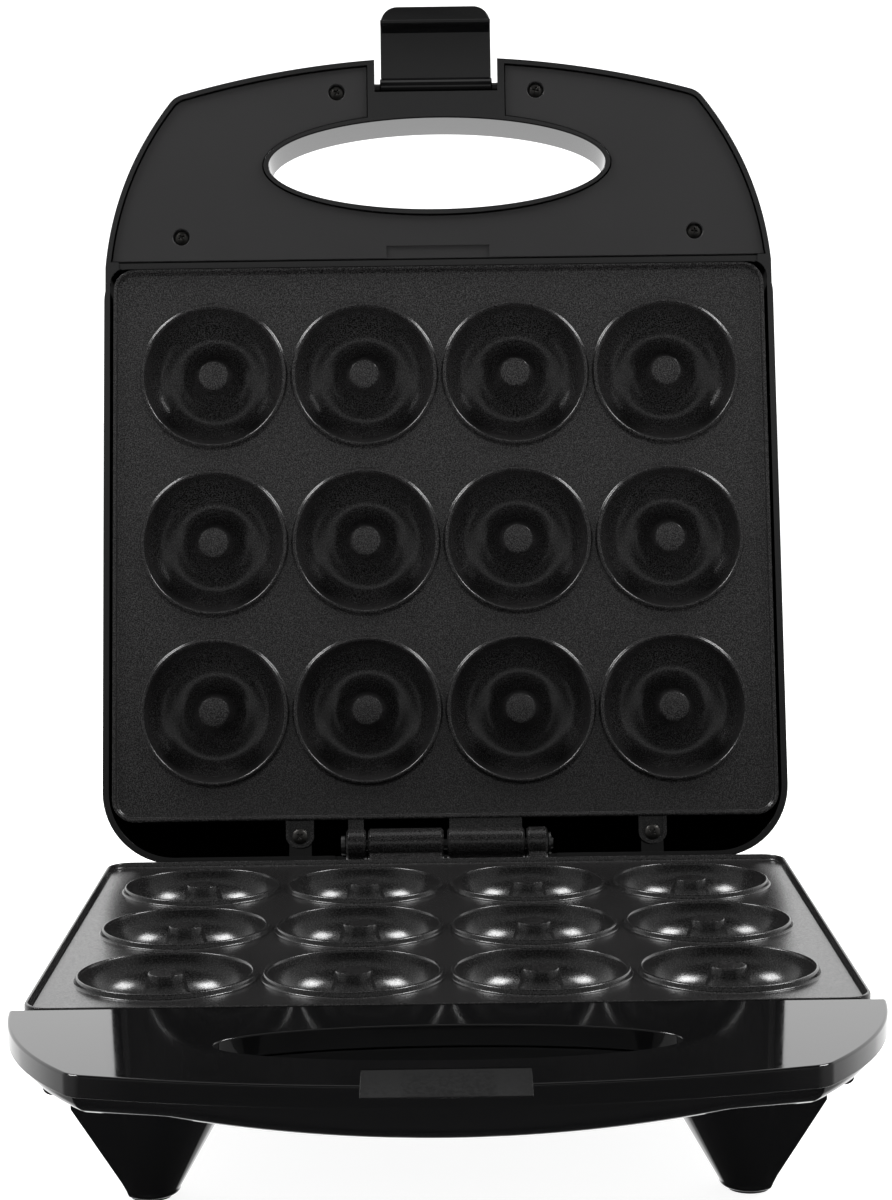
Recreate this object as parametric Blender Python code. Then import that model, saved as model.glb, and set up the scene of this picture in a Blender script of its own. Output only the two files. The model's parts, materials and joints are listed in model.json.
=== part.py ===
"""Electric donut maker for twelve ring donuts: a hinged clamshell with two cooking plates, hand-hole handles
and a swing latch, built as separate parts.

Sizes are in millimetres, and MM turns them into Blender's metres where a mesh is made. The base stands on
z = 0 with its handle towards -Y. Heights in the drawing functions count from the seam, the plane where the
closed halves meet. The lid's parts are drawn closed, and the lid_axis empty swings them open.
"""

import math

import bmesh
import bpy
from mathutils import Matrix, Vector

MM = 0.001

# Driving dimensions
SEAM = 57.0  # height of the seam above the table
CENTRE_Y = 9.167  # middle of the open object's depth, which stands over the origin
OPEN_ANGLE = 103.37  # the lid rests open at this angle
HINGE_Y, HINGE_Z = 109.5, 3.0
LATCH_Y, LATCH_Z = -173.6, 16.0  # latch axis on the closed lid
WALL = 2.2  # plastic wall
GAP = 0.35  # clearance between neighbouring parts

# Cooking plates, as heights of the lower plate
PITCH_X, PITCH_Y = 55.0, 61.4  # spacing of the wells
COLUMNS, ROWS = 4, 3
PLATE_X, PLATE_FRONT, PLATE_REAR, PLATE_CORNER = 119.0, -101.5, 100.5, 8.0
RIM_TOP, RIM_WIDTH = -0.2, 1.4
WEB_TOP, WEB_UNDER = -2.0, -4.2
COLLAR_R, WELL_R, CHANNEL_R, POST_R = 26.5, 25.1, 15.3, 5.5
WELL_DEPTH, WELL_UNDER, WELL_UNDER_R = 11.6, -13.8, 21.5
WELL_SIDES = 12
BOSS_X, BOSS_Y, BOSS_R = 107.0, 45.5, 3.2
LUG_X, LUG_Y, LUG_HALF = (-52.0, 73.8), 106.2, 5.0  # screwed ears of the upper plate

# Handles, one outline for both halves
HANDLE_X, HANDLE_FRONT = 122.0, -180.8
SIDE_ARC = ((122.0, -102.5), (114.5, -135.6), (96.7, -166.8))
OVAL_Y, OVAL_A, OVAL_B = -140.3, 62.0, 17.3
NOTCH_X, NOTCH_Y = 22.7, -167.6

# Lid
LID_FACE, LID_X, LID_REAR, LID_CORNER = 0.5, 122.4, 115.5, 26.0
LID_HEIGHT, LID_HANDLE_HEIGHT = 43.0, 22.0
LID_SCREWS = ((36.8, -168.0), (94.2, -113.7))
BAND, BRIDGE_X = 1.9, 25.3  # raised border of the lid's handle, half width of the bridge at the notch
COVER_REAR, COVER_FACE, COVER_BACK = -104.8, 1.4, 3.8
LAMPS, LAMP_Y = (-11.0, 11.0), -76.0

# Base
BASE_FACE, SKIRT_FOOT, SKIRT_WALL, BASE_COVER_REAR = -0.5, -6.5, 2.0, -102.2
TUB_X, TUB_FRONT, TUB_REAR, TUB_TOP, TUB_FOOT, TUB_DRAFT = 118.5, -101.9, 105.3, -4.6, -27.0, 4.4
BELLY_INSET, BELLY_TOP, BELLY_FOOT = 5.5, -6.9, -17.8
BELLY_RISE, BELLY_FLAT_X = 3.4 / 60**2, 70.0  # the belly's underside rises to its ends, then runs level
BASE_SCREWS = ((36.8, -162.8, -15.2), (97.0, -127.0, -12.4))  # x, y and the head's face
LEG_X, LEG_FRONT_Y, LEG_REAR_Y = 84.7, -93.0, 80.0
LEG_FOOT, LEG_FOOT_R, LEG_SLOPE, LEG_TOP = -56.0, 7.4, 0.572, -12.0
FIN_X, FIN_FOOT, FIN_SHOULDER, FIN_TOP = 89.2, -51.6, -24.0, -13.0
PAD_R = 6.2
GLAND_X, GLAND_Z = 70.0, -14.6
GLAND_PAD_R, GLAND_HOLE_R = 9.7, 7.2
STOP_X = 92.0  # blocks that the open lid rests on
VENT_WIDTH, VENT_LENGTH = 3.0, 32.0

# Hinge
BARREL_R, BORE_R, PIN_R = 6.0, 2.3, 2.0
LOWER_KNUCKLES = ((-27.7, -0.8), (28.7, 36.2))
UPPER_KNUCKLES = ((-35.5, -28.4), (0.5, 28.0))
PIN_HEAD_X, PIN_END_X = -35.9, 38.2

# Latch, along its own length from the axis
LATCH_WIDTH, LATCH_LENGTH, LATCH_RIB, LATCH_TIP_R = 41.5, 33.0, 24.3, 6.5

# Heating element and reflectors
TUBE_R, ELEMENT_Z, ELEMENT_END, ELEMENT_TURN, ELEMENT_BULGE = 3.25, -8.0, -98.0, 81.3, 29.2
REFLECTOR_TOP, REFLECTOR_BACK = -16.5, -17.4

# Base colour, roughness and metallic value of each finish
FINISHES = {
    "gloss_black": ((0.012, 0.012, 0.013), 0.12, 0.0),
    "satin_black": ((0.035, 0.034, 0.035), 0.42, 0.0),
    "nonstick": ((0.03, 0.029, 0.03), 0.38, 0.2),
    "steel": ((0.45, 0.45, 0.46), 0.3, 1.0),
    "black_steel": ((0.03, 0.03, 0.03), 0.35, 0.8),
    "sheet_metal": ((0.7, 0.7, 0.71), 0.35, 1.0),
    "element": ((0.22, 0.2, 0.19), 0.5, 0.9),
    "ceramic": ((0.75, 0.73, 0.68), 0.6, 0.0),
    "rubber": ((0.02, 0.02, 0.02), 0.85, 0.0),
    "red_lens": ((0.5, 0.02, 0.01), 0.15, 0.0),
    "green_lens": ((0.02, 0.35, 0.06), 0.15, 0.0),
    "lamp_glass": ((0.8, 0.78, 0.75), 0.1, 0.0),
    "wire": ((0.6, 0.55, 0.5), 0.6, 0.0),
}


# Scene and objects


def clear_scene():
    for obj in list(bpy.data.objects):
        bpy.data.objects.remove(obj, do_unlink=True)


def new_collection(name):
    collection = bpy.data.collections.new(name)
    bpy.context.scene.collection.children.link(collection)
    return collection


def axis_empty(name, y, z, parent=None):
    """An empty on a joint's axis, y and z being the closed position from the seam."""
    axis = bpy.data.objects.new(name, None)
    seated(axis, parent)
    axis["closed_at"] = (0.0, y, z)
    axis.location += Vector((0, y, z)) * MM
    PARTS.objects.link(axis)
    return axis


def seated(obj, body):
    """Places an object drawn from the seam: on the table's frame, or under the axis empty it moves with."""
    if body is None:
        obj.location = Vector((0, -CENTRE_Y, SEAM)) * MM
    else:
        obj.parent = body
        obj.location = -Vector(body["closed_at"]) * MM
    return obj


def mesh_object(name, bm, collection):
    bmesh.ops.recalc_face_normals(bm, faces=bm.faces)
    bmesh.ops.scale(bm, vec=(MM, MM, MM), verts=bm.verts)
    mesh = bpy.data.meshes.new(name)
    bm.to_mesh(mesh)
    bm.free()
    mesh.shade_smooth()
    mesh.set_sharp_from_angle(angle=math.radians(35))
    obj = bpy.data.objects.new(name, mesh)
    collection.objects.link(obj)
    return obj


def paint(data, name, finish):
    colour, roughness, metallic = FINISHES[finish]
    material = bpy.data.materials.new(name + "_" + finish)
    material.use_nodes = True
    shader = material.node_tree.nodes["Principled BSDF"]
    shader.inputs["Base Color"].default_value = (*colour, 1)
    shader.inputs["Roughness"].default_value = roughness
    shader.inputs["Metallic"].default_value = metallic
    data.materials.append(material)


def part(name, bm, finish, body):
    obj = mesh_object(name, bm, PARTS)
    paint(obj.data, name, finish)
    return seated(obj, body)


def cutter(name, bm, body):
    obj = mesh_object(name, bm, CUTTERS)
    obj.hide_render = True
    obj.display_type = "WIRE"
    return seated(obj, body)


def boolean(obj, operation, other):
    """The exact solver drops whole shells where thin walls meet in several steps. All operands are closed."""
    modifier = obj.modifiers.new(other.name, "BOOLEAN")
    modifier.solver = "MANIFOLD"
    modifier.operation = operation
    modifier.object = other


def cut(obj, name, bm, body):
    boolean(obj, "DIFFERENCE", cutter(name, bm, body))


def weld(obj, name, bm, body):
    boolean(obj, "UNION", cutter(name, bm, body))


# Shapes


def loft(rings):
    """A closed solid through rings of equal length, capped at both ends."""
    bm = bmesh.new()
    loops = [[bm.verts.new(point) for point in ring] for ring in rings]
    for low, high in zip(loops, loops[1:]):
        for i in range(len(low)):
            bm.faces.new((low[i - 1], low[i], high[i], high[i - 1]))
    bm.faces.new(loops[0])
    bm.faces.new(loops[-1])
    bmesh.ops.triangulate(bm, faces=bm.faces)
    return bm


def level(outline, z, rise=0.0):
    """An outline at a height, its sides lifted by rise times the square of x."""
    return [(x, y, z + rise * min(abs(x), BELLY_FLAT_X) ** 2) for x, y in outline]


def prism(outline, z0, z1):
    return loft([level(outline, z0), level(outline, z1)])


def extruded_x(profile, x0, x1):
    """A (y, z) profile extruded along X."""
    return loft([[(x, y, z) for y, z in profile] for x in (x0, x1)])


def block(x0, x1, y0, y1, z0, z1):
    bm = bmesh.new()
    place = Matrix.Translation(((x0 + x1) / 2, (y0 + y1) / 2, (z0 + z1) / 2))
    bmesh.ops.create_cube(bm, size=1, matrix=place @ Matrix.Diagonal((x1 - x0, y1 - y0, z1 - z0, 1)))
    return bm


def rod(x, y, z0, z1, radius, sides=12, top_radius=None):
    """An upright cylinder, or a cone when top_radius is given."""
    bm = bmesh.new()
    bmesh.ops.create_cone(
        bm,
        cap_ends=True,
        segments=sides,
        radius1=radius,
        radius2=radius if top_radius is None else top_radius,
        depth=z1 - z0,
        matrix=Matrix.Translation((x, y, (z0 + z1) / 2)),
    )
    return bm


def rod_x(x0, x1, y, z, radius, sides=16):
    bm = bmesh.new()
    turn = Matrix.Rotation(math.pi / 2, 4, "Y")
    place = Matrix.Translation(((x0 + x1) / 2, y, z)) @ turn
    bmesh.ops.create_cone(
        bm, cap_ends=True, segments=sides, radius1=radius, radius2=radius, depth=x1 - x0, matrix=place
    )
    return bm


def turned(profile, sides, place=(0, 0, 0), turn=Matrix.Identity(4)):
    """A solid of revolution from (radius, height) points that start and end on the axis, or make a loop."""
    bm = bmesh.new()
    points = [bm.verts.new((radius, 0, z)) for radius, z in profile]
    edges = [bm.edges.new(pair) for pair in zip(points, points[1:])]
    if profile[0][0] > 0:
        edges.append(bm.edges.new((points[-1], points[0])))
    bmesh.ops.spin(
        bm, geom=points + edges, axis=(0, 0, 1), angle=2 * math.pi, steps=sides, use_merge=True
    )
    bmesh.ops.remove_doubles(bm, verts=bm.verts, dist=0.001)
    bmesh.ops.transform(bm, matrix=Matrix.Translation(place) @ turn, verts=bm.verts)
    return bm


def merged(shapes):
    """One bmesh holding shapes that don't touch each other."""
    bm = bmesh.new()
    for shape in shapes:
        mesh = bpy.data.meshes.new("shape")
        shape.to_mesh(mesh)
        shape.free()
        bm.from_mesh(mesh)
        bpy.data.meshes.remove(mesh)
    return bm


def flipped(bm, up):
    """The bmesh as drawn when up is 1, and mirrored in the seam when it is -1."""
    bmesh.ops.scale(bm, vec=(1, 1, up), verts=bm.verts)
    return bm


# Outlines, as (x, y) points that run clockwise from the rear


def both_sides(points):
    return [(side * point[0], *point[1:]) for point in points for side in (-1, 1)]


def mirrored(half):
    """A whole outline from its right half, which may start or end on the middle line."""
    return half + [(-x, y) for x, y in reversed(half) if abs(x) > 1e-6]


def arc(centre, radius, start, end, steps):
    angles = [math.radians(start + (end - start) * i / steps) for i in range(steps + 1)]
    return [(centre[0] + radius * math.cos(a), centre[1] + radius * math.sin(a)) for a in angles]


def arc_through(a, b, c, steps):
    """Points on the circle through three points, from a to c."""
    a, b, c = Vector(a), Vector(b), Vector(c)
    ab, ac = b - a, c - a
    offset = Vector((
        ab.length_squared * ac.y - ac.length_squared * ab.y,
        ac.length_squared * ab.x - ab.length_squared * ac.x,
    ))
    centre = a + offset / (2 * ab.cross(ac))
    start, end = (math.degrees(math.atan2(p.y - centre.y, p.x - centre.x)) for p in (a, c))
    return arc(centre, (a - centre).length, start, end, steps)


def rounded_box(half_width, front, rear, front_r, rear_r, steps=5):
    rear_arc = arc((half_width - rear_r, rear - rear_r), rear_r, 90, 0, steps)
    front_arc = arc((half_width - front_r, front + front_r), front_r, 0, -90, steps)
    return mirrored(rear_arc + front_arc)


def stepped_box(half_width, front, rear, front_r, rear_r, levels, steps=5):
    """A rounded box through (height, distance) levels, each with its sides that far inside the outline."""
    rings = []
    for z, d in levels:
        corners = max(front_r - d, 0.6), max(rear_r - d, 0.6)
        rings.append(level(rounded_box(half_width - d, front + d, rear - d, *corners, steps), z))
    return loft(rings)


def handle_edge():
    """The right half of the handle's edge: a side arc, a soft vertex and a shallow front arc."""
    side = arc_through(*SIDE_ARC, 5)
    vertex_x, vertex_y = SIDE_ARC[-1]
    sag = vertex_y - HANDLE_FRONT
    radius = (vertex_x**2 + sag**2) / (2 * sag)
    reach = math.degrees(math.asin(vertex_x / radius))
    front = arc((0, HANDLE_FRONT + radius), radius, reach - 90, -90, 6)
    before = Vector(side[-2]).lerp(Vector(side[-1]), 0.6)
    after = Vector(front[0]).lerp(Vector(front[1]), 0.35)
    return side[:-1] + [tuple(before), tuple(after)] + front[1:-1] + [(0.0, HANDLE_FRONT)]


def inset(outline, distance):
    """The outline moved inwards with its sides kept parallel."""
    points = [Vector(point) for point in outline]
    area = sum(a.cross(b) for a, b in zip(points, points[1:] + points[:1]))
    side = math.copysign(distance, area)
    moved = []
    for i, point in enumerate(points):
        before = (point - points[i - 1]).normalized().orthogonal()
        after = (points[(i + 1) % len(points)] - point).normalized().orthogonal()
        moved.append(point + (before + after) * side / (1 + before.dot(after)))
    return [(0.0 if abs(x) < 1e-4 else x, y) for x, y in moved]


def handle_area(distance, rear):
    """The handle's outline moved inwards and closed by a straight rear edge."""
    edge = handle_edge()
    moved = inset(mirrored([(HANDLE_X, 0.0)] + edge), distance)[1 : len(edge) + 1]
    return mirrored([(HANDLE_X - distance, rear)] + [point for point in moved if point[1] < rear - 0.5])


def stepped_handle(distance, rear, levels):
    """The handle's shape through (height, distance, rise) levels."""
    return loft([level(handle_area(distance + d, rear), z, BELLY_RISE * rise) for z, d, rise in levels])


def oval(grow=0.0, sides=28):
    angles = [2 * math.pi * i / sides for i in range(sides)]
    return [((OVAL_A + grow) * math.cos(a), OVAL_Y + (OVAL_B + grow) * math.sin(a)) for a in angles]


# Fasteners


def screw(name, body, x, y, face, way, reach, head_r=2.75, head=1.2):
    """A pan-head screw with a round socket: its face at height face, driven up (way 1) or down (-1)."""
    shank_r, socket_r = 1.5, 1.3
    socket = ((0, 0.8), (socket_r - 0.3, 0.8), (socket_r, 0))
    profile = socket + (
        (head_r - 0.5, 0), (head_r, 0.4), (head_r, head), (shank_r, head), (shank_r, reach), (0, reach)
    )
    part(name, turned([(r, face + way * z) for r, z in profile], 10, (x, y, 0)), "black_steel", body)


# Cooking plates and what heats them


def well_centres():
    return [
        ((i - (COLUMNS - 1) / 2) * PITCH_X, (j - (ROWS - 1) / 2) * PITCH_Y)
        for i in range(COLUMNS)
        for j in range(ROWS)
    ]


def channel_profile():
    """The ring well's hollow: down the post, over a half-elliptical floor and up to the collar."""
    half = WELL_R - CHANNEL_R
    floor = [math.radians(angle) for angle in (-158, -112, -68, -22)]
    bowl = [(CHANNEL_R + half * math.cos(a), WELL_DEPTH * math.sin(a)) for a in floor]
    return [(POST_R, 1.0), (POST_R + 0.4, -1.2)] + bowl + [(WELL_R, 1.0)]


def knuckle(x0, x1, low, high):
    """A hinge barrel and the arm that joins it to a plate between two heights."""
    low_angle = -180 + math.degrees(math.asin(min(1, (HINGE_Z - low) / BARREL_R)))
    high_angle = 180 - math.degrees(math.asin((high - HINGE_Z) / BARREL_R))
    root = PLATE_REAR - 2
    barrel = arc((HINGE_Y, HINGE_Z), BARREL_R, low_angle, high_angle, 14)
    return extruded_x([(root, low)] + barrel + [(root, high)], x0, x1)


def lug_outline(x):
    """An ear with a round end, rooted in the plate's rear edge."""
    angles = [math.radians(angle) for angle in range(0, 181, 30)]
    end = [(x + LUG_HALF * math.cos(a), LUG_Y + 4.2 * math.sin(a)) for a in angles]
    return [(x + LUG_HALF, PLATE_REAR - 1)] + end + [(x - LUG_HALF, PLATE_REAR - 1)]


def boss_places():
    return [(x, y) for x in (-BOSS_X, BOSS_X) for y in (-BOSS_Y, BOSS_Y)]


def cooking_plate(name, body, up, knuckles, lugs):
    """A cast plate: a rimmed web, collared ring wells, screw bosses and hinge knuckles.

    It is drawn as the lower plate, and up = -1 mirrors it in the seam for the lid.
    """
    outline = rounded_box(PLATE_X, PLATE_FRONT, PLATE_REAR, PLATE_CORNER, PLATE_CORNER)
    plate = part(name, flipped(prism(outline, WEB_UNDER, RIM_TOP), up), "nonstick", body)
    cut(plate, name + "_tray", flipped(prism(inset(outline, RIM_WIDTH), WEB_TOP, 3.0), up), body)

    well_form = (
        (0, RIM_TOP), (COLLAR_R - 0.4, RIM_TOP), (COLLAR_R, WEB_TOP - 0.5), (COLLAR_R - 1, WEB_UNDER),
        (WELL_UNDER_R, WELL_UNDER), (0, WELL_UNDER),
    )
    added = [turned(well_form, WELL_SIDES, (x, y, 0)) for x, y in well_centres()]
    added += [rod(x, y, REFLECTOR_TOP + 0.4, WEB_TOP - 1, BOSS_R) for x, y in boss_places()]
    added += [prism(lug_outline(x), WEB_UNDER, WEB_UNDER + 2) for x in lugs]
    arm_low, arm_high = sorted((up * (WEB_UNDER + 0.2), up * (RIM_TOP - 0.4)))
    arms = [knuckle(x0, x1, arm_low, arm_high) for x0, x1 in knuckles]
    weld(plate, name + "_forms", merged([flipped(merged(added), up)] + arms), body)

    removed = [turned(channel_profile(), WELL_SIDES, (x, y, 0)) for x, y in well_centres()]
    removed += [rod(x, y, -30, -7, 1.85) for x, y in boss_places()]
    removed += [rod(x, LUG_Y, -9, 0.5, 1.9) for x in lugs]
    bore = rod_x(-45, 45, HINGE_Y, HINGE_Z, BORE_R)
    cut(plate, name + "_hollows", merged([flipped(merged(removed), up), bore]), body)


def tube(name, path, radius, finish, body):
    """A round wire or tube through (x, y, z, thickness) points."""
    curve = bpy.data.curves.new(name, "CURVE")
    curve.dimensions = "3D"
    curve.bevel_depth = radius * MM
    curve.bevel_resolution = 2
    curve.use_fill_caps = True
    spline = curve.splines.new("POLY")
    spline.points.add(len(path) - 1)
    for point, (x, y, z, thickness) in zip(spline.points, path):
        point.co = (x * MM, y * MM, z * MM, 1)
        point.radius = thickness
    paint(curve, name, finish)
    obj = bpy.data.objects.new(name, curve)
    PARTS.objects.link(obj)
    seated(obj, body)


def heating_element(name, body, up):
    """A sheathed tube bent to a U between the rows of wells, with a thin terminal pin at each end."""
    row = PITCH_Y / 2
    leg = [(ELEMENT_END - 8, 0.42), (ELEMENT_END - 0.4, 0.42), (ELEMENT_END, 1.0)]
    angles = [math.radians(-90 + 15 * i) for i in range(13)]
    turn = [(ELEMENT_TURN + ELEMENT_BULGE * math.cos(a), row * math.sin(a), 1.0) for a in angles]
    path = [(x, -row, thick) for x, thick in leg] + turn + [(x, row, thick) for x, thick in reversed(leg)]
    tube(name, [(x, y, up * ELEMENT_Z, thick) for x, y, thick in path], TUBE_R, "element", body)


def reflector(name, body, up):
    """A flat sheet behind the element that turns its heat back to the plate."""
    outline = rounded_box(110.6, -95, 95, 6, 6, 3)
    sheet = part(name, flipped(prism(outline, REFLECTOR_BACK, REFLECTOR_TOP), up), "sheet_metal", body)
    holes = merged([rod(x, y, -20, -14, 2.2) for x, y in boss_places()])
    cut(sheet, name + "_holes", flipped(holes, up), body)


def thermostat(name, body, up):
    """A disc thermostat on its flange, standing on the middle of the reflector."""
    base = REFLECTOR_BACK - 0.3
    profile = ((0, base), (9.5, base), (9.5, base - 1.2), (8, base - 1.4), (8, base - 5.4), (0, base - 6))
    part(name, flipped(turned(profile, 16), up), "ceramic", body)


# Base


def leg_places():
    return [(x, y) for x in (-LEG_X, LEG_X) for y in (LEG_FRONT_Y, LEG_REAR_Y)]


def leg_radius(z):
    return LEG_FOOT_R + LEG_SLOPE * (z - LEG_FOOT)


def leg_cones(shrink, foot, top):
    """The four conical legs between two heights, thinner by shrink."""
    low, high = leg_radius(foot) - shrink, leg_radius(top) - shrink
    return merged([rod(x, y, foot, top, low, 20, high) for x, y in leg_places()])


def leg_fin(side, y):
    """The squared outer part of a leg, whose front and back are flat."""
    rings = []
    for z, width_z in ((FIN_FOOT, FIN_FOOT), (FIN_SHOULDER, FIN_SHOULDER), (FIN_TOP, FIN_SHOULDER)):
        radius = leg_radius(width_z)
        outer, rear = LEG_X + 0.97 * radius, min(y + radius, 98.0)
        corners = ((FIN_X, y - radius), (outer, y - radius), (outer, rear), (FIN_X, rear))
        rings.append([(side * x, corner_y, z) for x, corner_y in corners])
    return loft(rings)


def clipped_legs(name, shrink, foot, top, margin):
    """Leg cones cut off inside the sides of the tub and the belly."""
    legs = cutter(name, leg_cones(shrink, foot, top), None)
    limit = rounded_box(TUB_X - margin, -150, TUB_REAR - margin, 20, 12)
    boolean(legs, "INTERSECT", cutter(name + "_limit", prism(limit, -70, 5), None))
    return legs


def base_housing():
    """The lower shell: a drafted tub, the handle's belly and four hollow conical legs."""
    levels = (
        (TUB_TOP, 0.0), (TUB_FOOT + 4, TUB_DRAFT), (TUB_FOOT + 1.2, TUB_DRAFT + 1), (TUB_FOOT, TUB_DRAFT + 3)
    )
    tub = stepped_box(TUB_X, TUB_FRONT, TUB_REAR, 4, 10, levels)
    shell = part("base_housing", tub, "gloss_black", None)
    levels = ((BELLY_TOP, 0.0, 0.0), (-10.0, 0.6, 0.2), (-14.5, 2.4, 0.7), (BELLY_FOOT, 6.5, 1.0))
    weld(shell, "belly", stepped_handle(BELLY_INSET, -98.0, levels), None)
    boolean(shell, "UNION", clipped_legs("legs", 0.0, LEG_FOOT, LEG_TOP, 6.0))
    fins = [leg_fin(side, y) for side in (-1, 1) for y in (LEG_FRONT_Y, LEG_REAR_Y)]
    weld(shell, "leg_fins", merged(fins), None)

    floor = TUB_FOOT + WALL
    levels = ((0.0, WALL), (TUB_TOP, WALL), (floor + 2, TUB_DRAFT + WALL), (floor, TUB_DRAFT + 4))
    cut(shell, "tub_hollow", stepped_box(TUB_X, TUB_FRONT, TUB_REAR, 4, 10, levels), None)
    levels = ((0.0, 0.0, 0.0), (-12.5, 1.2, 0.5), (BELLY_FOOT + WALL, 4.5, 1.0))
    cavity = stepped_handle(BELLY_INSET + WALL, TUB_FRONT - WALL, levels)
    belly_hollow = cutter("belly_hollow", cavity, None)
    boolean(belly_hollow, "DIFFERENCE", cutter("belly_oval_wall", prism(oval(WALL), -30, 5), None))
    boolean(shell, "DIFFERENCE", belly_hollow)
    boolean(shell, "DIFFERENCE", clipped_legs("leg_hollows", 2.6, -53.4, -21.0, 8.6))

    plate_screws = both_sides(((BOSS_X, BOSS_Y), (BOSS_X, -BOSS_Y)))
    handle_screws = both_sides(BASE_SCREWS)
    bosses = [rod(x, y, TUB_FOOT + 1, REFLECTOR_BACK - 0.5, 3.9, 12) for x, y in plate_screws]
    bosses += [rod(x, y, head + 0.4, -9.8, 3.9, 12) for x, y, head in handle_screws]
    gland_place = (GLAND_X, 0, GLAND_Z)
    pad = ((0, 98.8), (GLAND_PAD_R, 98.8), (GLAND_PAD_R, 105.2), (0, 105.2))
    gland_pad = turned(pad, 16, gland_place, UPRIGHT_TO_Y)
    stops = [block(x - 8, x + 8, 102.0, 104.9, -9, -1.0) for x in (-STOP_X, STOP_X)]
    weld(shell, "bosses_and_stops", merged(bosses + [gland_pad] + stops), None)

    holes = [rod(x, y, -40, -5, 1.9) for x, y in plate_screws]
    holes += [rod(x, y, -40, -5, 1.9) for x, y, _ in handle_screws]
    gland_hole = ((0, 90), (GLAND_HOLE_R, 90), (GLAND_HOLE_R, 115), (0, 115))
    holes.append(turned(gland_hole, 20, gland_place, UPRIGHT_TO_Y))
    cut(shell, "screw_and_gland_holes", merged(holes), None)
    recesses = [rod(x, y, -32, TUB_FOOT + 1.7, 3.4, 12) for x, y in plate_screws]
    recesses += [rod(x, y, -32, head + 1.5, 3.4, 12) for x, y, head in handle_screws]
    recesses += [rod(x, y, -60, -55, PAD_R + GAP, 16) for x, y in leg_places()]
    cut(shell, "head_and_pad_recesses", merged(recesses), None)
    cut(shell, "base_oval", prism(oval(), -40, 5), None)
    cut(shell, "base_hinge_notch", block(-39, 39, TUB_REAR - 6, TUB_REAR + 3, -5.2, 5), None)
    vents = [
        block(x - VENT_WIDTH / 2, x + VENT_WIDTH / 2, y - VENT_LENGTH / 2, y + VENT_LENGTH / 2, -31, -20)
        for x in range(-24, 25, 12)
        for y in (-42, 42)
    ]
    cut(shell, "vents", merged(vents), None)


def base_handle_cover():
    """The glossy cap of the lower handle: a top face with a skirt, a hand hole and a ramp for the latch."""
    outside = handle_area(0.0, BASE_COVER_REAR)
    cover = part("base_handle_cover", prism(outside, SKIRT_FOOT, BASE_FACE), "gloss_black", None)
    inside = handle_area(SKIRT_WALL, BASE_COVER_REAR - SKIRT_WALL)
    hollow = cutter("cap_hollow", prism(inside, SKIRT_FOOT - 4, BASE_FACE - 2), None)
    boolean(hollow, "DIFFERENCE", cutter("cap_oval_wall", prism(oval(SKIRT_WALL), -20, 5), None))
    ramp_support = block(-NOTCH_X - 2, NOTCH_X + 2, -190, -163.2, -20, 5)
    boolean(hollow, "DIFFERENCE", cutter("ramp_support", ramp_support, None))
    boolean(cover, "DIFFERENCE", hollow)
    cut(cover, "cap_oval", prism(oval(), -20, 5), None)
    bosses = merged([rod(x, y, -9.2, BASE_FACE - 1, 3.4, 12) for x, y, _ in both_sides(BASE_SCREWS)])
    weld(cover, "cap_bosses", bosses, None)
    ramp = ((-165.2, 1.0), (-165.2, BASE_FACE - 0.2), (-179.3, -3.8), (-190, -4.2), (-190, 1.0))
    catch = ((-190, -9), (-190, -6.6), (-178.5, -6.6), (-176.9, -5.2), (-161.5, -5.2), (-161.5, -9))
    removed = [rod(x, y, -12, -3.4, 1.8) for x, y, _ in both_sides(BASE_SCREWS)]
    removed += [extruded_x(ramp, -NOTCH_X, NOTCH_X), extruded_x(catch, -NOTCH_X - 1, NOTCH_X + 1)]
    cut(cover, "cap_holes_ramp_and_catch", merged(removed), None)


def base_fittings():
    for (x, y), place in zip(leg_places(), ("front_left", "rear_left", "front_right", "rear_right")):
        profile = ((0, -SEAM), (PAD_R - 0.6, -SEAM), (PAD_R, 0.6 - SEAM), (PAD_R, -55.3), (0, -55.3))
        part("foot_pad_" + place, turned(profile, 16, (x, y, 0)), "rubber", None)
    for i, (x, y) in enumerate(both_sides(((BOSS_X, BOSS_Y), (BOSS_X, -BOSS_Y)))):
        screw(f"lower_plate_screw_{i + 1}", None, x, y, TUB_FOOT + 0.1, 1, 17.5, head_r=3.0)
    for i, (x, y, head) in enumerate(both_sides(BASE_SCREWS)):
        screw(f"base_handle_screw_{i + 1}", None, x, y, head, 1, -4.2 - head)


def wiring():
    gland = (
        (8.8, 107.2), (8.8, 105.5), (6.9, 105.5), (6.9, 98.4),
        (7.8, 98.4), (7.8, 96.8), (3.7, 96.8), (3.7, 107.2),
    )
    part("cord_gland", turned(gland, 16, (GLAND_X, 0, GLAND_Z), UPRIGHT_TO_Y), "rubber", None)
    part("terminal_block", block(56, 84, 40, 54, -24.3, -18.2), "ceramic", None)
    part("thermal_fuse", rod_x(26, 40, 62, -21.2, 2.2, 12), "sheet_metal", None)
    route = (
        (-106, 30.7), (-109, 26), (-109, 6), (-100, -2), (-40, -4), (-18, 20), (4, 44), (20, 47), (54, 47)
    )
    tube("heater_lead", [(x, y, -21.4, 1.0) for x, y in route], 1.3, "wire", None)


def hinge():
    along_x = Matrix.Rotation(math.pi / 2, 4, "Y")
    head_x, head_r = PIN_HEAD_X - 1.4, 3.6
    pin = (
        (0, head_x), (head_r, head_x), (head_r, PIN_HEAD_X),
        (PIN_R, PIN_HEAD_X), (PIN_R, PIN_END_X), (0, PIN_END_X),
    )
    part("hinge_pin", turned(pin, 16, (0, HINGE_Y, HINGE_Z), along_x), "steel", None)
    clip = ((PIN_R + GAP, 36.6), (4.0, 36.6), (4.0, 37.4), (PIN_R + GAP, 37.4))
    part("hinge_pin_clip", turned(clip, 16, (0, HINGE_Y, HINGE_Z), along_x), "steel", None)


# Lid


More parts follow.
